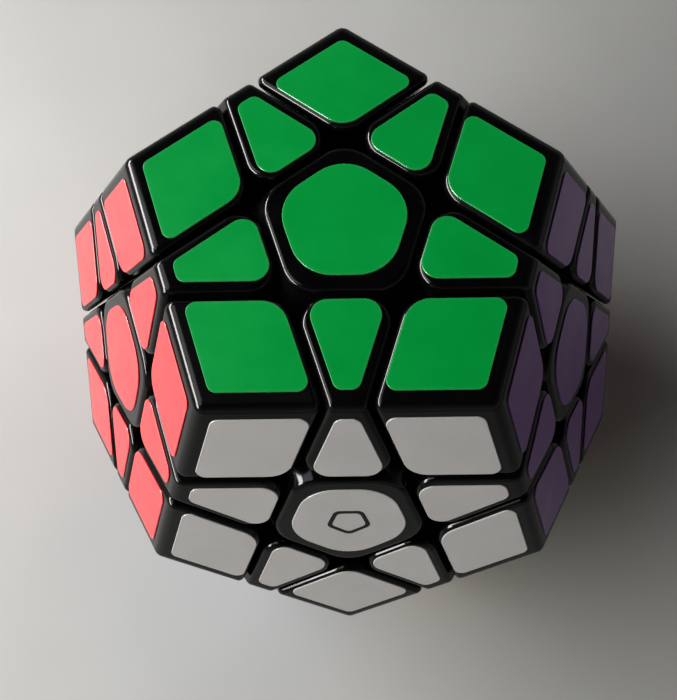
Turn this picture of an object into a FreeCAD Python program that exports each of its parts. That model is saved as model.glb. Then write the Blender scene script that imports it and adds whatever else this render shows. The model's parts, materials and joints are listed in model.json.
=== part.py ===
"""Dodecahedron twisty puzzle: twelve turning faces around a ball core.

Frame: origin at the centre of the puzzle, +Z up through the green face, the white face towards -Y.
The puzzle lies on its lime face. Every outer piece is one of three moulded kinds (centre, edge, corner),
designed once against the green, white and purple faces and then turned into each of its places.

Each layer is bounded by a surface of revolution about its face axis: the flat cut plane outside the
foot shell, and a cone through the foot shell. So a face can turn by any angle without touching the rest.
"""

import FreeCAD, Part
import math
import os

import Sketcher
from FreeCAD import Matrix, Placement, Rotation, Vector

doc = FreeCAD.newDocument("TwistyDodecahedron")

TOLERANCE = 0.001  # mm, when comparing computed positions

# ---------------------------------------------------------------- driving dimensions (mm, degrees)

DIMENSIONS = [
    ("edge_length", 33.0),          # dodecahedron edge, sharp corner to sharp corner
    ("corner_share", 0.44),         # part of that edge which belongs to one corner piece
    ("half_gap", 0.15),             # clearance on each side of every cut
    ("half_gap_angle", 0.32),       # the same clearance on the cone faces, in degrees
    ("foot_outer_radius", 34.0),    # sphere over the feet
    ("foot_inner_radius", 27.0),    # sphere under the feet
    ("foot_cone_angle", 49.0),      # how far a layer's feet reach round from its axis
    ("shell_wall", 1.6),            # moulded wall of edge and corner shells
    ("foot_plate", 1.3),            # plate that closes a shell, over its foot
    ("outer_round", 1.6),           # rounding of the dodecahedron's own edges
    ("border_round", 0.85),         # rounding of a piece's border on each face
    ("corner_inner_round", 4.2),    # corner piece, upright edge nearest the face centre
    ("edge_inner_round", 2.6),      # edge piece, the two upright edges nearest the face centre
    ("centre_round", 5.0),          # centre piece, upright edges
    ("cap_thickness", 1.65),        # snap-on cap of a centre
    ("recess_radius", 7.0),         # wide hollow under the cap
    ("recess_bottom", 30.6),        # heights are measured from the puzzle's centre
    ("flange_thickness", 1.9),      # dish under the feet, part of the centre base
    ("flange_angle", 30.2),
    ("hub_radius", 6.2),
    ("hub_bottom", 24.6),
    ("cup_radius", 4.2),            # well for the spring and the screw head
    ("floor_bottom", 26.3),         # the well's floor
    ("floor_top", 27.8),
    ("floor_hole_radius", 1.75),
    ("arm_radius", 3.1),
    ("arm_bore_radius", 3.3),
    ("arm_length", 26.0),
    ("core_radius", 10.0),
    ("screw_radius", 1.3),
    ("screw_tip", 15.0),
    ("screw_head_radius", 3.2),
    ("screw_head_bottom", 32.0),
    ("screw_head_height", 1.6),
    ("slot_length", 3.4),
    ("slot_width", 0.8),
    ("slot_depth", 0.7),
    ("spring_radius", 2.45),        # to the middle of the wire
    ("spring_wire", 0.28),          # radius of the wire
    ("spring_turns", 4.0),
    ("spring_clearance", 0.12),
    ("reach", 60.0),                # half the size of the tool blocks
]

sheet = doc.addObject("Spreadsheet::Sheet", "Dimensions")
for row, (alias, value) in enumerate(DIMENSIONS, start=1):
    sheet.set("A%d" % row, alias)
    sheet.set("B%d" % row, str(value))
    sheet.setAlias("B%d" % row, alias)
DERIVED = [
    ("face_radius", "=edge_length / 2 * sqrt(2.5 + 1.1 * sqrt(5))"),
    ("cut_depth", "=edge_length * corner_share * sin(72 deg) * 2 / sqrt(5)"),
    ("cut_radius", "=face_radius - cut_depth"),
    ("cap_bottom", "=face_radius - cap_thickness"),
    ("screw_head_top", "=screw_head_bottom + screw_head_height"),
    ("slot_bottom", "=screw_head_top - slot_depth"),
    ("spring_bottom", "=floor_top + spring_clearance + spring_wire"),
    ("spring_top", "=screw_head_bottom - spring_clearance - spring_wire"),
    ("spring_half_rise", "=(spring_top - spring_bottom) / 2 / spring_turns"),
]
for row, (alias, formula) in enumerate(DERIVED, start=len(DIMENSIONS) + 1):
    sheet.set("A%d" % row, alias)
    sheet.set("B%d" % row, formula)
    sheet.setAlias("B%d" % row, alias)
doc.recompute()


def size(alias):
    """A dimension's present value."""
    return float(getattr(sheet, alias))


# ---------------------------------------------------------------- face axes

TILT = math.degrees(math.acos(1 / math.sqrt(5)))
UPPER_RING = ["white", "purple", "sky", "cream", "red"]
LOWER_RING = ["blue", "yellow", "orange", "grey", "pink"]


def direction(polar, azimuth):
    polar = math.radians(polar)
    azimuth = math.radians(azimuth)
    return Vector(math.sin(polar) * math.cos(azimuth), math.sin(polar) * math.sin(azimuth), math.cos(polar))


AXES = {"green": Vector(0, 0, 1), "lime": Vector(0, 0, -1)}
for step, colour in enumerate(UPPER_RING):
    AXES[colour] = direction(TILT, -90 + 72 * step)
for step, colour in enumerate(LOWER_RING):
    AXES[colour] = direction(180 - TILT, -126 + 72 * step)
FACES = ["green"] + UPPER_RING + LOWER_RING + ["lime"]


def adjacent(one, other):
    return abs(AXES[one].dot(AXES[other]) - 1 / math.sqrt(5)) < TOLERANCE


def frame_of(first, second):
    """Rotation whose +Z is the first axis and whose -Y leans to the second."""
    up = AXES[first]
    side = (AXES[second] - up * AXES[second].dot(up)).normalize() * -1
    right = side.cross(up)
    turned = Matrix(right.x, side.x, up.x, 0, right.y, side.y, up.y, 0, right.z, side.z, up.z, 0, 0, 0, 0, 1)
    return Rotation(turned)


def turn_to(first, second):
    """Placement that carries the green and white axes onto two other adjacent axes."""
    return Placement(Vector(0, 0, 0), frame_of(first, second))


def upright_to(colour):
    """Placement that carries +Z onto a face axis."""
    neighbour = next(other for other in FACES if adjacent(colour, other))
    return turn_to(colour, neighbour)


# ---------------------------------------------------------------- small builders

def bind(item, **formulas):
    for name, formula in formulas.items():
        item.setExpression(name, formula)


def common(name, items):
    result = doc.addObject("Part::MultiCommon", name)
    result.Shapes = items
    return result


def fuse(name, items):
    result = doc.addObject("Part::MultiFuse", name)
    result.Shapes = items
    return result


def cut(name, base, tool):
    result = doc.addObject("Part::Cut", name)
    result.Base = base
    result.Tool = tool
    return result


def gather(name, items):
    result = doc.addObject("Part::Compound", name)
    result.Links = items
    return result


def below(name, colour, height):
    """Everything below the plane at this height along a face axis, as a block."""
    block = doc.addObject("Part::Box", name)
    reach = size("reach")
    bind(
        block,
        Length="2 * Dimensions.reach",
        Width="2 * Dimensions.reach",
        Height="Dimensions.reach + " + height,
    )
    turned = upright_to(colour).Rotation
    block.Placement = Placement(turned.multVec(Vector(-reach, -reach, -reach)), turned)
    return block


def cylinder(name, radius, bottom, top):
    """Upright cylinder on the green axis between two heights."""
    item = doc.addObject("Part::Cylinder", name)
    item.setExpression("Radius", radius)
    item.setExpression("Height", "%s - %s" % (top, bottom))
    item.setExpression("Placement.Base.z", bottom)
    return item


def ball(name, radius):
    item = doc.addObject("Part::Sphere", name)
    bind(item, Radius=radius)
    return item


def zone(name, colour, inner, outer, angle):
    """Part of a spherical shell within an angle of a face axis."""
    shell = cut(name + "_shell", ball(name + "_over", outer), ball(name + "_under", inner))
    wedge = doc.addObject("Part::Cone", name + "_wedge")
    bind(
        wedge,
        Radius1="0 mm",
        Radius2="Dimensions.reach * 1 mm * tan((%s) * 1 deg)" % angle,
        Height="Dimensions.reach",
    )
    wedge.Placement = upright_to(colour)
    return common(name, [shell, wedge])


# ---------------------------------------------------------------- tools shared by the three kinds of piece

DIM = "Dimensions."
FACE_HEIGHT = DIM + "face_radius"
INSIDE_CUT = "(Dimensions.cut_radius + Dimensions.half_gap)"
OUTSIDE_CUT = "(Dimensions.cut_radius - Dimensions.half_gap)"
CAVITY_TOP = "(Dimensions.face_radius - Dimensions.shell_wall)"
CAVITY_INSIDE = "(Dimensions.cut_radius + Dimensions.half_gap + Dimensions.shell_wall)"
CAVITY_OUTSIDE = "(Dimensions.cut_radius - Dimensions.half_gap - Dimensions.shell_wall)"


def outer_block(name, inside, beside, top=FACE_HEIGHT, inner=INSIDE_CUT, side=OUTSIDE_CUT):
    """Block that lies in the layers of the faces 'inside' and out of the layers of the faces 'beside'."""
    limits = [below("%s_top_%s" % (name, colour), colour, top) for colour in inside]
    limits += [below("%s_side_%s" % (name, colour), colour, side) for colour in beside]
    core = [below("%s_bottom_%s" % (name, colour), colour, inner) for colour in inside]
    removed = fuse(name + "_bottoms", core) if len(core) > 1 else core[0]
    return cut(name, common(name + "_hull", limits), removed)


def foot_zone(name, colour):
    return zone(
        name,
        colour,
        "Dimensions.foot_inner_radius + Dimensions.half_gap",
        "Dimensions.foot_outer_radius - Dimensions.half_gap",
        "Dimensions.foot_cone_angle - Dimensions.half_gap_angle",
    )


def clear_zone(name, colour):
    return zone(
        name,
        colour,
        "Dimensions.foot_inner_radius - Dimensions.half_gap",
        "Dimensions.foot_outer_radius + Dimensions.half_gap",
        "Dimensions.foot_cone_angle + Dimensions.half_gap_angle",
    )


def is_skin(face):
    """True for the planes of the dodecahedron and the rounds between them."""
    surface = face.Surface
    if isinstance(surface, Part.Plane):
        return abs(abs(surface.Axis.dot(surface.Position)) - size("face_radius")) < TOLERANCE
    if isinstance(surface, Part.Cylinder):
        return abs(surface.Radius - size("outer_round")) < TOLERANCE
    return face.CenterOfMass.Length > size("face_radius")


def edges_between(shape, first_kind, second_kind):
    """Numbers of the edges where a face of one kind meets a face of the other, skin or not."""
    found = []
    for number, edge in enumerate(shape.Edges, start=1):
        kinds = sorted(is_skin(face) for face in shape.ancestorsOfType(edge, Part.Face))
        if kinds == sorted([first_kind, second_kind]):
            found.append(number)
    return found


def inner_uprights(shape, numbers):
    """Those of the numbered edges that reach the outside of the puzzle."""
    chosen = []
    for number in numbers:
        ends = [vertex.Point for vertex in shape.Edges[number - 1].Vertexes]
        reach = max(max(end.dot(axis) for axis in AXES.values()) for end in ends)
        if reach > size("face_radius") - TOLERANCE:
            chosen.append(number)
    return chosen


def rounded(name, block, upright_radius):
    """Block with its uprights and outer edges rounded first, then the whole border of its skin."""
    doc.recompute()
    uprights = inner_uprights(block.Shape, edges_between(block.Shape, False, False))
    outers = edges_between(block.Shape, True, True)
    first = doc.addObject("Part::Fillet", name + "_uprights")
    first.Base = block
    first.Edges = [(number, upright_radius, upright_radius) for number in uprights]
    first.Edges += [(number, size("outer_round"), size("outer_round")) for number in outers]
    doc.recompute()
    border = edges_between(first.Shape, True, False)
    second = doc.addObject("Part::Fillet", name)
    second.Base = first
    second.Edges = [(number, size("border_round"), size("border_round")) for number in border]
    doc.recompute()
    return second


# ---------------------------------------------------------------- corner and edge pieces

def shell_and_foot(name, inside, beside, upright_radius):
    """A hollow outer shell and the foot that closes it, as the two solids of one piece."""
    block = rounded(name + "_rounded", outer_block(name + "_block", inside, beside), upright_radius)
    zones = [foot_zone("%s_zone_%s" % (name, colour), colour) for colour in inside]
    foot = common(name + "_foot_zone", zones)
    body = fuse(name + "_body", [block, foot])
    if beside:
        zones = [clear_zone("%s_clear_%s" % (name, colour), colour) for colour in beside]
        clear = fuse(name + "_clear", zones)
        body = cut(name + "_cleared", body, clear)
    seam = "Dimensions.foot_outer_radius + Dimensions.foot_plate"
    inset = outer_block(name + "_inset", inside, beside, CAVITY_TOP, CAVITY_INSIDE, CAVITY_OUTSIDE)
    hollow = cut(name + "_hollow", body, cut(name + "_cavity", inset, ball(name + "_cavity_floor", seam)))
    shell = cut(name + "_shell", hollow, ball(name + "_shell_seam", seam))
    plug = common(name + "_foot", [hollow, ball(name + "_foot_seam", seam)])
    return gather(name + "_kind", [shell, plug])


corner_kind = shell_and_foot("corner", ["green", "white", "purple"], [], size("corner_inner_round"))
edge_kind = shell_and_foot("edge", ["green", "white"], ["purple", "red"], size("edge_inner_round"))


# ---------------------------------------------------------------- centre piece

def centre_piece():
    """Base with the well for spring and screw and the dish under the feet, and its cap."""
    block = outer_block("centre_block", ["green"], UPPER_RING)
    block = rounded("centre_rounded", block, size("centre_round"))
    stalk = fuse("centre_stalked", [block, foot_zone("centre_stalk", "green")])
    clear = fuse("centre_clear", [clear_zone("centre_clear_" + colour, colour) for colour in UPPER_RING])
    upper = cut("centre_upper", stalk, clear)
    dish_top = "Dimensions.foot_inner_radius - Dimensions.half_gap"
    dish_bottom = dish_top + " - Dimensions.flange_thickness"
    dish = zone("centre_dish", "green", dish_bottom, dish_top, DIM + "flange_angle")
    hub = cylinder("centre_hub", DIM + "hub_radius", DIM + "hub_bottom", DIM + "floor_top")
    solid = fuse("centre_solid", [upper, dish, hub])
    hollows = [
        cylinder("centre_bore", DIM + "arm_bore_radius", DIM + "screw_tip", DIM + "floor_bottom"),
        cylinder("centre_hole", DIM + "floor_hole_radius", DIM + "screw_tip", DIM + "cap_bottom"),
        cylinder("centre_well", DIM + "cup_radius", DIM + "floor_top", DIM + "cap_bottom"),
        cylinder("centre_recess", DIM + "recess_radius", DIM + "recess_bottom", DIM + "cap_bottom"),
    ]
    carved = cut("centre_carved", solid, fuse("centre_hollows", hollows))
    base = common("centre_base", [carved, below("centre_base_side", "green", DIM + "cap_bottom")])
    cap = cut("centre_cap", carved, below("centre_cap_side", "green", DIM + "cap_bottom"))
    return gather("centre_kind", [base, cap])


centre_kind = centre_piece()


# ---------------------------------------------------------------- core, screws and springs

def sketch_on(body, plane_role, name):
    """Sketch attached to one of its body's own origin planes."""
    sketch = body.newObject("Sketcher::SketchObject", name)
    plane = next(item for item in body.Origin.OriginFeatures if item.Role == plane_role)
    sketch.AttachmentSupport = [(plane, "")]
    sketch.MapMode = "FlatFace"
    return sketch


def bound_outline(sketch, corners):
    """Closed outline whose corners are pairs of dimension formulas, distance from the axis and height."""
    points = [Vector(float(sheet.evalExpression(x)), float(sheet.evalExpression(y)), 0) for x, y in corners]
    for place, point in enumerate(points):
        sketch.addGeometry(Part.LineSegment(point, points[(place + 1) % len(points)]), False)
    for place, (across, up) in enumerate(corners):
        following = (place + 1) % len(corners)
        sketch.addConstraint(Sketcher.Constraint("Coincident", place, 2, following, 1))
        height = sketch.addConstraint(Sketcher.Constraint("DistanceY", -1, 1, place, 1, points[place].y))
        sketch.setExpression("Constraints[%d]" % height, up)
        if across == "0":
            sketch.addConstraint(Sketcher.Constraint("PointOnObject", place, 1, -2))
        else:
            width = sketch.addConstraint(Sketcher.Constraint("DistanceX", -1, 1, place, 1, points[place].x))
            sketch.setExpression("Constraints[%d]" % width, across)


def turned_body(name, corners):
    """Body turned about Z from a bound half outline."""
    body = doc.addObject("PartDesign::Body", name)
    sketch = sketch_on(body, "XZ_Plane", name + "_outline")
    bound_outline(sketch, corners)
    turning = body.newObject("PartDesign::Revolution", name + "_turning")
    turning.Profile = sketch
    turning.ReferenceAxis = (sketch, ["V_Axis"])
    turning.Angle = 360
    doc.recompute()
    return body


def copies(name, kind, colours):
    """One copy of an upright shape on each of the named face axes."""
    made = []
    for colour in colours:
        copy = doc.addObject("Part::Feature", "%s_%s" % (name, colour))
        copy.Shape = kind.Shape.copy()
        copy.Placement = upright_to(colour)
        made.append(copy)
    return made


def core_spider():
    """Ball with twelve arms, each bored for its screw."""
    arm = cut(
        "arm",
        cylinder("arm_rod", DIM + "arm_radius", "0", DIM + "arm_length"),
        cylinder("arm_pilot", DIM + "screw_radius", DIM + "screw_tip", DIM + "arm_length"),
    )
    doc.recompute()
    spider = fuse("core_spider", [ball("core_ball", DIM + "core_radius")] + copies("arm", arm, FACES))
    return spider


def screw_kind():
    """Pan-head screw with a cross recess, on the green axis."""
    turned = turned_body(
        "screw_turned",
        [
            ("0", DIM + "screw_tip"),
            (DIM + "screw_radius", DIM + "screw_tip"),
            (DIM + "screw_radius", DIM + "screw_head_bottom"),
            (DIM + "screw_head_radius", DIM + "screw_head_bottom"),
            (DIM + "screw_head_radius", DIM + "screw_head_top"),
            ("0", DIM + "screw_head_top"),
        ],
    )
    slots = []
    ways = (("slot_along", "Length", "Width"), ("slot_across", "Width", "Length"))
    for name, long_side, short_side in ways:
        slot = doc.addObject("Part::Box", name)
        slot.setExpression(long_side, "Dimensions.slot_length")
        slot.setExpression(short_side, "Dimensions.slot_width")
        slot.setExpression("Height", "Dimensions.slot_depth")
        slot.setExpression("Placement.Base.x", "-%s.Length / 2" % name)
        slot.setExpression("Placement.Base.y", "-%s.Width / 2" % name)
        slot.setExpression("Placement.Base.z", "Dimensions.slot_bottom")
        slots.append(slot)
    screw = cut("screw", turned, fuse("screw_recess", slots))
    doc.recompute()
    return screw


def spring_kind():
    """Compression spring on the green axis, every half turn half a ring, tipped to meet the next."""
    tip = math.degrees(math.asin(size("spring_half_rise") / 2 / size("spring_radius")))
    halves = []
    for step in range(2 * round(size("spring_turns"))):
        half = doc.addObject("Part::Torus", "spring_half_%d" % step)
        bind(half, Radius1="Dimensions.spring_radius", Radius2="Dimensions.spring_wire")
        half.Angle3 = 180
        side = step % 2
        tipped = Rotation(Vector(0, 1, 0), -tip if side else tip)
        half.Placement = Placement(Vector(0, 0, 0), tipped * Rotation(Vector(0, 0, 1), 180 * side))
        middle = "Dimensions.spring_bottom + %.1f * Dimensions.spring_half_rise" % (step + 0.5)
        half.setExpression("Placement.Base.z", middle)
        halves.append(half)
    spring = fuse("spring", halves)
    doc.recompute()
    return spring


# ---------------------------------------------------------------- every piece in its place

def node(label, kind, placement):
    """A named sub-part: one copy of a kind of piece, in its place."""
    item = doc.addObject("Part::Feature", label)
    item.Label = label
    item.Shape = kind.Shape.copy()
    item.Placement = placement
    return item


def corner_place(first, second, third):
    """The green-white-purple corner carried to three faces, whichever way round they are named."""
    for one, other in ((first, second), (second, first)):
        placement = turn_to(one, other)
        if placement.Rotation.multVec(AXES["purple"]).distanceToPoint(AXES[third]) < TOLERANCE:
            return placement
    raise ValueError("no corner between %s, %s and %s" % (first, second, third))


core = core_spider()
core.Label = "core_spider"
screws = gather("centre_screws", copies("screw", screw_kind(), FACES))
springs = gather("centre_springs", copies("spring", spring_kind(), FACES))
subparts = [core, screws, springs]
doc.recompute()

for colour in FACES:
    subparts.append(node(colour + "_centre", centre_kind, upright_to(colour)))

edge_pairs = []
corner_triples = []
for first in range(len(FACES)):
    for second in range(first + 1, len(FACES)):
        if not adjacent(FACES[first], FACES[second]):
            continue
        edge_pairs.append((FACES[first], FACES[second]))
        for third in range(second + 1, len(FACES)):
            if adjacent(FACES[first], FACES[third]) and adjacent(FACES[second], FACES[third]):
                corner_triples.append((FACES[first], FACES[second], FACES[third]))

for triple in corner_triples:
    if "lime" not in triple:
        subparts.append(node("corner_%s_%s_%s" % triple, corner_kind, corner_place(*triple)))

for pair in edge_pairs:
    lime_corner = pair + ("lime",)
    if lime_corner not in corner_triples:
        subparts.append(node("edge_%s_%s" % pair, edge_kind, turn_to(*pair)))
        continue
    edge = node("edge_piece_%s_%s" % pair, edge_kind, turn_to(*pair))
    corner = node("corner_piece_%s_%s_%s" % lime_corner, corner_kind, corner_place(*lime_corner))
    subparts.append(gather("edge_%s_%s_with_lime_corner" % pair, [edge, corner]))

doc.recompute()

# ---------------------------------------------------------------- checks and files

failed = [item.Name for item in doc.Objects if "Invalid" in item.State or "Error" in item.State]
if failed:
    raise RuntimeError("objects that did not compute: " + ", ".join(failed))
for item in subparts:
    if item.Shape.isNull() or not item.Shape.isValid() or not item.Shape.Solids:
        raise RuntimeError("bad shape: " + item.Label)

os.makedirs("parts", exist_ok=True)
for item in subparts:
    item.Shape.exportStep("parts/%s.step" % item.Label)
print(len(subparts), "sub-parts,", sum(len(item.Shape.Solids) for item in subparts), "solids")
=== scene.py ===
"""Looks of the dodecahedron twisty puzzle: moulded pieces, vinyl stickers, floor, lights and camera.

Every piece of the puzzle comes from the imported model. Each sticker is a thin closed plate on its face,
cut to the piece it lies on, and rides with that piece.
"""

import itertools
import json
import math

import bmesh
import bpy
from mathutils import Matrix, Vector

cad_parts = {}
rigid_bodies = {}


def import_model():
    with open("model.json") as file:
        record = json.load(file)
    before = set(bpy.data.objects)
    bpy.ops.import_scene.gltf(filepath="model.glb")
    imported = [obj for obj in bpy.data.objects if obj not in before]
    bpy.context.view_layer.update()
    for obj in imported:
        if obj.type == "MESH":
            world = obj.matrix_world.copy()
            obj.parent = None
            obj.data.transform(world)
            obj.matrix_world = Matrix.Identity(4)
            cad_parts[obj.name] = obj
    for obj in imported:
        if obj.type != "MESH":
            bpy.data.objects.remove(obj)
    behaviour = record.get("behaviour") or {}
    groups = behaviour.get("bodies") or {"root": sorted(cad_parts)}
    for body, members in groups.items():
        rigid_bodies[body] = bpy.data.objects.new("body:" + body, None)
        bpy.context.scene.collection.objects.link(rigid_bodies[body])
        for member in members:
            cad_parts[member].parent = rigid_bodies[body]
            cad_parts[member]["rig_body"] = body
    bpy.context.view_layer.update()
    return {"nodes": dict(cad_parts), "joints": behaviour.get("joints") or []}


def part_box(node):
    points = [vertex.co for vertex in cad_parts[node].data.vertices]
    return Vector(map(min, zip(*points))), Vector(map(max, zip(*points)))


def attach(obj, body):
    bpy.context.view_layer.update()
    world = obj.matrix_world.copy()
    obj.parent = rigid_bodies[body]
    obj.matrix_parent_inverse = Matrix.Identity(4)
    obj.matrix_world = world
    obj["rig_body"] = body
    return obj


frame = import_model()
nodes = frame["nodes"]

# ---------------------------------------------------------------- sizes, in metres and degrees

MM = 0.001
FACE_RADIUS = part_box("green_centre")[1].z
EDGE_LENGTH = 2 * FACE_RADIUS / math.sqrt(2.5 + 1.1 * math.sqrt(5))
CORNER_SHARE = 0.44
FACE_INRADIUS = EDGE_LENGTH / (2 * math.tan(math.radians(36)))
CUT_INRADIUS = FACE_INRADIUS - CORNER_SHARE * EDGE_LENGTH * math.sin(math.radians(72))

CENTRE_MARGIN = 1.8 * MM        # sticker's edge to the cut line beside it, or to the dodecahedron's edge
EDGE_OUTER_MARGIN = 1.95 * MM
EDGE_INNER_MARGIN = 1.1 * MM
CORNER_OUTER_MARGIN = 1.8 * MM
SIDE_MARGIN = 1.2 * MM
CENTRE_CORNER = 5.2 * MM        # radii of the stickers' rounded corners
EDGE_INNER_CORNER = 2.0 * MM
CORNER_INNER_CORNER = 3.3 * MM
OUTER_CORNER = 1.2 * MM
ARC_STEP = 9.0                  # degrees of arc between two points of a rounded corner

STICKER_THICKNESS = 0.15 * MM
STICKER_BEVEL = 0.07 * MM
STICKER_RIM = 0.45 * MM         # width of a sticker's paler rim, a painted highlight
STICKER_SUNK = 0.03 * MM
MARK_RADIUS = 2.5 * MM
MARK_WIDTH = 0.55 * MM
MARK_THICKNESS = 0.02 * MM
MARK_ROUNDNESS = 0.4            # corner radius of the mark as a share of its reach
SHARPEST_CORNER = 0.05 * MM

# ---------------------------------------------------------------- faces

AXES = {j["name"][: -len("_turn")]: Vector(j["axis"]) for j in frame["joints"] if j["parent"] == "core"}
AXES["lime"] = -AXES["green"]
FACES = list(AXES)


def adjacent(one, other):
    return abs(AXES[one].dot(AXES[other]) - 1 / math.sqrt(5)) < 0.01


def face_frame(colour):
    """Matrix from a face's own plane, seen from outside, to the puzzle, and its neighbours in turn."""
    up = AXES[colour]
    beside = [other for other in FACES if adjacent(colour, other)]
    right = (AXES[beside[0]] - up * AXES[beside[0]].dot(up)).normalized()
    ahead = up.cross(right)

    def heading(other):
        """Angle of a neighbour round the face, rounded so that the first one's is 0 and not a full turn."""
        return round(math.atan2(AXES[other].dot(ahead), AXES[other].dot(right)), 6) % math.tau

    beside.sort(key=heading)
    turned = Matrix((right, ahead, up)).transposed().to_4x4()
    return Matrix.Translation(up * FACE_RADIUS) @ turned, beside


def carrier(colours):
    """Body that carries the piece with these face colours."""
    names = [colour for colour in FACES if colour in colours]
    first_two = "edge_" + "_".join(names[:2])
    if len(names) == 1:
        wanted = [names[0] + "_centre"]
    elif len(names) == 2:
        wanted = [first_two, first_two + "_with_lime_corner"]
    elif "lime" in names:
        wanted = [first_two + "_with_lime_corner"]
    else:
        wanted = ["corner_" + "_".join(names)]
    return next(nodes[name]["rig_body"] for name in wanted if name in nodes)


# ---------------------------------------------------------------- materials

MIX_COLOURS = (6, 7)            # a Mix node's sockets for two colours, and for the blended one
MIX_RESULT = 2
COAT_ROUGHNESS = 0.18
INK_SHADE = 0.93                # darker patches of a sticker's ink
# paler rim of each sticker, a painted highlight: share of the ink kept and white added
RIM_HIGHLIGHT_SHARE, RIM_HIGHLIGHT_WHITE = 0.8, 0.06


def material(name, roughness=0.4, metallic=0.0, coat=0.0):
    made = bpy.data.materials.new(name)
    made.use_nodes = True
    shader = made.node_tree.nodes["Principled BSDF"]
    shader.inputs["Roughness"].default_value = roughness
    shader.inputs["Metallic"].default_value = metallic
    shader.inputs["Coat Weight"].default_value = coat
    shader.inputs["Coat Roughness"].default_value = COAT_ROUGHNESS
    return made, made.node_tree, shader


def noise(tree, scale, detail=3.0):
    """Noise in the puzzle's own space, with 'scale' features to the metre."""
    place = tree.nodes.new("ShaderNodeTexCoord")
    texture = tree.nodes.new("ShaderNodeTexNoise")
    texture.inputs["Scale"].default_value = scale
    texture.inputs["Detail"].default_value = detail
    tree.links.new(place.outputs["Object"], texture.inputs["Vector"])
    return texture.outputs["Fac"]


def spread(tree, value, low, high, start=0.3, stop=0.7):
    """Value mapped from the middle of its range onto low to high."""
    mapped = tree.nodes.new("ShaderNodeMapRange")
    mapped.inputs["From Min"].default_value = start
    mapped.inputs["From Max"].default_value = stop
    mapped.inputs["To Min"].default_value = low
    mapped.inputs["To Max"].default_value = high
    tree.links.new(value, mapped.inputs["Value"])
    return mapped.outputs["Result"]


def blend_colours(tree, share, first, second):
    """Colour between two, each an rgb triple or an output of another node."""
    mix = tree.nodes.new("ShaderNodeMix")
    mix.data_type = "RGBA"
    tree.links.new(share, mix.inputs["Factor"])
    for socket, colour in zip(MIX_COLOURS, (first, second)):
        if isinstance(colour, tuple):
            mix.inputs[socket].default_value = (*colour, 1)
        else:
            tree.links.new(colour, mix.inputs[socket])
    return mix.outputs[MIX_RESULT]


def relief(tree, shader, height, distance, strength=1.0):
    bump = tree.nodes.new("ShaderNodeBump")
    bump.inputs["Distance"].default_value = distance
    bump.inputs["Strength"].default_value = strength
    tree.links.new(height, bump.inputs["Height"])
    tree.links.new(bump.outputs["Normal"], shader.inputs["Normal"])


def piece_plastic():
    """Black moulded ABS: fine moulded grain, faint cloudiness, and a painted highlight: convex edges
    painted a little brighter.
    """
    made, tree, shader = material("black_abs")
    cloud = noise(tree, 260, 4)
    darker, lighter, edge_highlight = (0.004, 0.004, 0.0045), (0.008, 0.008, 0.0085), (0.018, 0.018, 0.019)
    black = blend_colours(tree, spread(tree, cloud, 0, 1), darker, lighter)
    # painted highlight: the sharpest convex edges are blended towards a brighter black
    shape = tree.nodes.new("ShaderNodeNewGeometry")
    highlight_share = spread(tree, shape.outputs["Pointiness"], 0, 0.5, 0.52, 0.6)
    tree.links.new(blend_colours(tree, highlight_share, black, edge_highlight), shader.inputs["Base Color"])
    tree.links.new(spread(tree, cloud, 0.11, 0.17), shader.inputs["Roughness"])
    relief(tree, shader, noise(tree, 2600, 2), 0.004 * MM, 0.4)
    return made


def vinyl(name, colour):
    """Glossy printed vinyl with a slight unevenness and a paler, patchy rim painted as a highlight round
    the sticker's edge.
    """
    made, tree, shader = material(name, coat=0.9)
    cloud = noise(tree, 150, 4)
    darker = tuple(INK_SHADE * part for part in colour)
    ink = blend_colours(tree, spread(tree, cloud, 0, 1), darker, colour)
    # painted highlight: a paler, patchy rim round the sticker's edge
    border = tree.nodes.new("ShaderNodeAttribute")
    border.attribute_name = "border"
    pale = tuple(min(1.0, RIM_HIGHLIGHT_SHARE * part + RIM_HIGHLIGHT_WHITE) for part in colour)
    share = tree.nodes.new("ShaderNodeMath")
    share.operation = "MULTIPLY"
    tree.links.new(border.outputs["Fac"], share.inputs[0])
    tree.links.new(spread(tree, noise(tree, 900, 3), 0.1, 0.6), share.inputs[1])
    tree.links.new(blend_colours(tree, share.outputs["Value"], ink, pale), shader.inputs["Base Color"])
    tree.links.new(spread(tree, cloud, 0.3, 0.4), shader.inputs["Roughness"])
    relief(tree, shader, noise(tree, 420, 2), 0.02 * MM, 0.35)
    return made


def mottled(name, first, second, scale, roughness, metallic=0.0):
    """Plain solid material for the works inside."""
    made, tree, shader = material(name, metallic=metallic)
    cloud = noise(tree, scale, 3)
    base = blend_colours(tree, spread(tree, cloud, 0, 1), first, second)
    tree.links.new(base, shader.inputs["Base Color"])
    tree.links.new(spread(tree, cloud, *roughness), shader.inputs["Roughness"])
    relief(tree, shader, noise(tree, scale * 6, 2), 0.01 * MM, 0.4)
    return made


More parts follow.
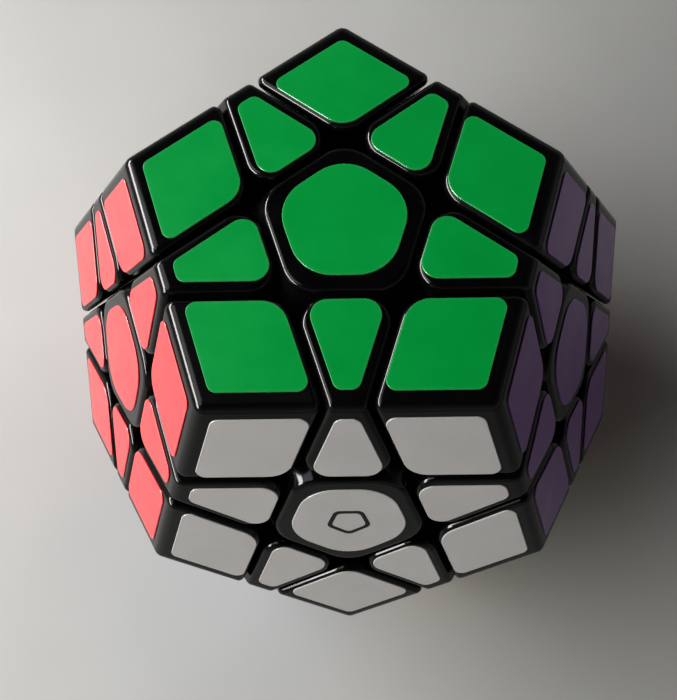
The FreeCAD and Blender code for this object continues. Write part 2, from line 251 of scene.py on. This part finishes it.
STICKER_COLOURS = {
    "green": (0.001, 0.345, 0.078),
    "white": (0.56, 0.545, 0.53),
    "purple": (0.185, 0.032, 0.29),
    "sky": (0.10, 0.45, 0.80),
    "cream": (0.86, 0.80, 0.45),
    "red": (0.70, 0.018, 0.03),
    "blue": (0.01, 0.07, 0.45),
    "yellow": (0.90, 0.68, 0.01),
    "orange": (0.90, 0.20, 0.01),
    "grey": (0.30, 0.31, 0.32),
    "pink": (0.88, 0.30, 0.45),
    "lime": (0.32, 0.66, 0.03),
}
vinyls = {colour: vinyl("vinyl_" + colour, ink) for colour, ink in STICKER_COLOURS.items()}
mark_ink = mottled("black_ink", (0.012, 0.012, 0.013), (0.022, 0.022, 0.024), 600, (0.35, 0.5))
nylon = mottled("white_nylon", (0.70, 0.70, 0.67), (0.78, 0.78, 0.75), 300, (0.4, 0.5))
zinc = mottled("zinc_steel", (0.52, 0.52, 0.50), (0.62, 0.62, 0.60), 900, (0.25, 0.4), 1.0)
spring_steel = mottled("spring_steel", (0.42, 0.42, 0.43), (0.52, 0.52, 0.53), 1500, (0.2, 0.32), 1.0)
WORKS = {"core_spider": nylon, "centre_screws": zinc, "centre_springs": spring_steel}
black_abs = piece_plastic()
for name, node in nodes.items():
    node.data.materials.clear()
    node.data.materials.append(WORKS.get(name, black_abs))

# ---------------------------------------------------------------- stickers


def rounded_outline(lines, radii, inset=0.0):
    """Outline inside lines (angle, distance from the face's centre), in order, with rounded corners."""
    outline = []
    for place, (angle, offset) in enumerate(lines):
        after, after_offset = lines[(place + 1) % len(lines)]
        turn = (after - angle) % math.tau
        radius = max(radii[place] - inset, SHARPEST_CORNER)
        near, far = offset - inset - radius, after_offset - inset - radius
        along = (far - near * math.cos(turn)) / math.sin(turn)
        middle = Matrix.Rotation(angle, 2) @ Vector((near, along))
        steps = max(2, round(math.degrees(turn) / ARC_STEP))
        for step in range(steps + 1):
            heading = angle + turn * step / steps
            outline.append(middle + radius * Vector((math.cos(heading), math.sin(heading))))
    return outline


def plate(mesh, lines, radii, place, material_index):
    """Thin closed plate with a bevelled top edge, added to a mesh that has a layer for the painted
    highlight rim.
    """
    border = mesh.verts.layers.float["border"]
    top = STICKER_THICKNESS
    section = (                 # inset, height and painted highlight share of each ring of points, from the bottom up
        (0, -STICKER_SUNK, 1),
        (0, top - STICKER_BEVEL, 1),
        (STICKER_BEVEL, top, 1),
        (STICKER_RIM, top, 0),
    )
    rings = []
    for inset, height, highlight_share in section:
        ring = []
        for point in rounded_outline(lines, radii, inset):
            vertex = mesh.verts.new(place @ Vector((point.x, point.y, height)))
            vertex[border] = highlight_share
            ring.append(vertex)
        rings.append(ring)
    made = [mesh.faces.new(list(reversed(rings[0]))), mesh.faces.new(rings[-1])]
    count = len(rings[0])
    for lower, upper in zip(rings, rings[1:]):
        for i in range(count):
            j = (i + 1) % count
            made.append(mesh.faces.new((lower[i], lower[j], upper[j], upper[i])))
    for face in made:
        face.material_index = material_index


def sticker_shape(others, beside):
    """Lines and corner radii of a sticker, from its piece's other colours and the face's neighbours."""
    heading = {other: math.tau * place / 5 for place, other in enumerate(beside)}
    if not others:
        return [(heading[other], CUT_INRADIUS - CENTRE_MARGIN) for other in beside], [CENTRE_CORNER] * 5
    if len(others) == 1:
        ahead = heading[others[0]]
        fifth = math.tau / 5
        lines = [
            (ahead - fifth, CUT_INRADIUS - SIDE_MARGIN),
            (ahead, FACE_INRADIUS - EDGE_OUTER_MARGIN),
            (ahead + fifth, CUT_INRADIUS - SIDE_MARGIN),
            (ahead + math.pi, -CUT_INRADIUS - EDGE_INNER_MARGIN),
        ]
        return lines, [OUTER_CORNER, OUTER_CORNER, EDGE_INNER_CORNER, EDGE_INNER_CORNER]
    first, second = others
    if (beside.index(second) - beside.index(first)) % 5 != 1:
        first, second = second, first
    lines = [
        (heading[first], FACE_INRADIUS - CORNER_OUTER_MARGIN),
        (heading[second], FACE_INRADIUS - CORNER_OUTER_MARGIN),
        (heading[first] + math.pi, -CUT_INRADIUS - SIDE_MARGIN),
        (heading[second] + math.pi, -CUT_INRADIUS - SIDE_MARGIN),
    ]
    return lines, [OUTER_CORNER, OUTER_CORNER, CORNER_INNER_CORNER, OUTER_CORNER]


def finished(name, mesh, body):
    data = bpy.data.meshes.new(name)
    mesh.to_mesh(data)
    mesh.free()
    made = bpy.data.objects.new(name, data)
    bpy.context.scene.collection.objects.link(made)
    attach(made, body)
    return made


def stickers(colours):
    """The stickers of one piece, one plate on each of its faces."""
    kind = {1: "centre", 2: "edge", 3: "corner"}[len(colours)]
    mesh = bmesh.new()
    # layer that marks each sticker's painted highlight rim
    mesh.verts.layers.float.new("border")
    for index, colour in enumerate(colours):
        place, beside = face_frame(colour)
        others = [other for other in colours if other != colour]
        lines, radii = sticker_shape(others, beside)
        plate(mesh, lines, radii, place, index)
    made = finished("stickers_%s_%s" % (kind, "_".join(colours)), mesh, carrier(colours))
    for colour in colours:
        made.data.materials.append(vinyls[colour])


centres = [(colour,) for colour in FACES]
edges = [pair for pair in itertools.combinations(FACES, 2) if adjacent(*pair)]
corners = [
    (first, second, third)
    for first, second in edges
    for third in FACES[FACES.index(second) + 1:]
    if adjacent(first, third) and adjacent(second, third)
]
for colours in centres + edges + corners:
    stickers(colours)

# ---------------------------------------------------------------- printed mark on the white centre


def printed_mark():
    """Plain five-sided ring, printed in the middle of the white centre."""
    place = face_frame("white")[0]
    mesh = bmesh.new()
    top = STICKER_THICKNESS + MARK_THICKNESS
    bottom = STICKER_THICKNESS - MARK_THICKNESS
    inner = MARK_RADIUS - MARK_WIDTH
    rings = []
    for reach, height in ((MARK_RADIUS, bottom), (MARK_RADIUS, top), (inner, top), (inner, bottom)):
        lines = [(math.tau * step / 5, reach) for step in range(5)]
        outline = rounded_outline(lines, [MARK_ROUNDNESS * reach] * 5)
        rings.append([mesh.verts.new(place @ Vector((point.x, point.y, height))) for point in outline])
    count = len(rings[0])
    for ring, following in zip(rings, rings[1:] + rings[:1]):
        for i in range(count):
            j = (i + 1) % count
            mesh.faces.new((ring[i], ring[j], following[j], following[i]))
    made = finished("printed_mark", mesh, carrier(("white",)))
    made.data.materials.append(mark_ink)


printed_mark()

# ---------------------------------------------------------------- floor

FLOOR_DROP = 0.05 * MM
FLOOR_SIZE = 1.8
floor_height = -FACE_RADIUS - STICKER_THICKNESS - FLOOR_DROP
bpy.ops.mesh.primitive_plane_add(size=FLOOR_SIZE, location=(0, 0, floor_height))
floor = bpy.context.object
floor.name = "floor"
floor_paint, tree, shader = material("pale_floor", roughness=0.85)
patches = spread(tree, noise(tree, 14, 3), 0, 1)
floor_colour = blend_colours(tree, patches, (0.42, 0.42, 0.41), (0.47, 0.47, 0.46))
tree.links.new(floor_colour, shader.inputs["Base Color"])
floor.data.materials.append(floor_paint)

# ---------------------------------------------------------------- light


def area_light(name, azimuth, elevation, distance, width, height, watts, colour):
    """Rectangular light at an azimuth from +X and an elevation, aimed at the puzzle."""
    made = bpy.data.objects.new(name, bpy.data.lights.new(name, "AREA"))
    made.data.shape = "RECTANGLE"
    made.data.size = width
    made.data.size_y = height
    made.data.energy = watts
    made.data.color = colour
    around, above = math.radians(azimuth), math.radians(elevation)
    level = math.cos(above)
    towards = Vector((math.cos(around) * level, math.sin(around) * level, math.sin(above)))
    made.location = towards * distance
    made.rotation_euler = towards.to_track_quat("Z", "Y").to_euler()
    bpy.context.scene.collection.objects.link(made)


area_light("window", 176, 31, 0.42, 0.66, 0.10, 2.7, (1.0, 0.985, 0.96))
area_light("high_fill", 178, 54, 0.6, 0.5, 0.26, 0.7, (0.97, 0.98, 1.0))
world = bpy.data.worlds.new("room")
bpy.context.scene.world = world
world.use_nodes = True
sky = world.node_tree
place = sky.nodes.new("ShaderNodeTexCoord")
height = sky.nodes.new("ShaderNodeSeparateXYZ")
sky.links.new(place.outputs["Generated"], height.inputs["Vector"])
rise = spread(sky, height.outputs["Z"], 0, 1, 0.1, 0.85)
room = blend_colours(sky, rise, (0.33, 0.33, 0.335), (0.004, 0.004, 0.004))
sky.links.new(room, sky.nodes["Background"].inputs["Color"])
bpy.context.scene.view_settings.view_transform = "Standard"
bpy.context.scene.view_settings.look = "High Contrast"

# ---------------------------------------------------------------- camera

CAMERA_AZIMUTH = 1.6
CAMERA_ELEVATION = 72.0
CAMERA_ROLL = -2.3
CAMERA_DISTANCE = 125.0 * MM
CAMERA_ASIDE = -1.2 * MM
CAMERA_ABOVE = -4.0 * MM
SENSOR_WIDTH = 36.0
FOCAL_LENGTH = 40.6

around, above, roll = map(math.radians, (CAMERA_AZIMUTH, CAMERA_ELEVATION, CAMERA_ROLL))
back = Vector((math.sin(around) * math.cos(above), -math.cos(around) * math.cos(above), math.sin(above)))
level = Vector((math.cos(around), math.sin(around), 0))
upward = back.cross(level)
right = math.cos(roll) * level + math.sin(roll) * upward
up = math.cos(roll) * upward - math.sin(roll) * level
camera = bpy.data.objects.new("camera", bpy.data.cameras.new("camera"))
camera.data.sensor_fit = "HORIZONTAL"
camera.data.sensor_width = SENSOR_WIDTH
camera.data.lens = FOCAL_LENGTH
camera.data.clip_start = 0.01
camera.matrix_world = Matrix((right, up, back)).transposed().to_4x4()
camera.location = back * CAMERA_DISTANCE + right * CAMERA_ASIDE + up * CAMERA_ABOVE
bpy.context.scene.collection.objects.link(camera)
bpy.context.scene.camera = camera
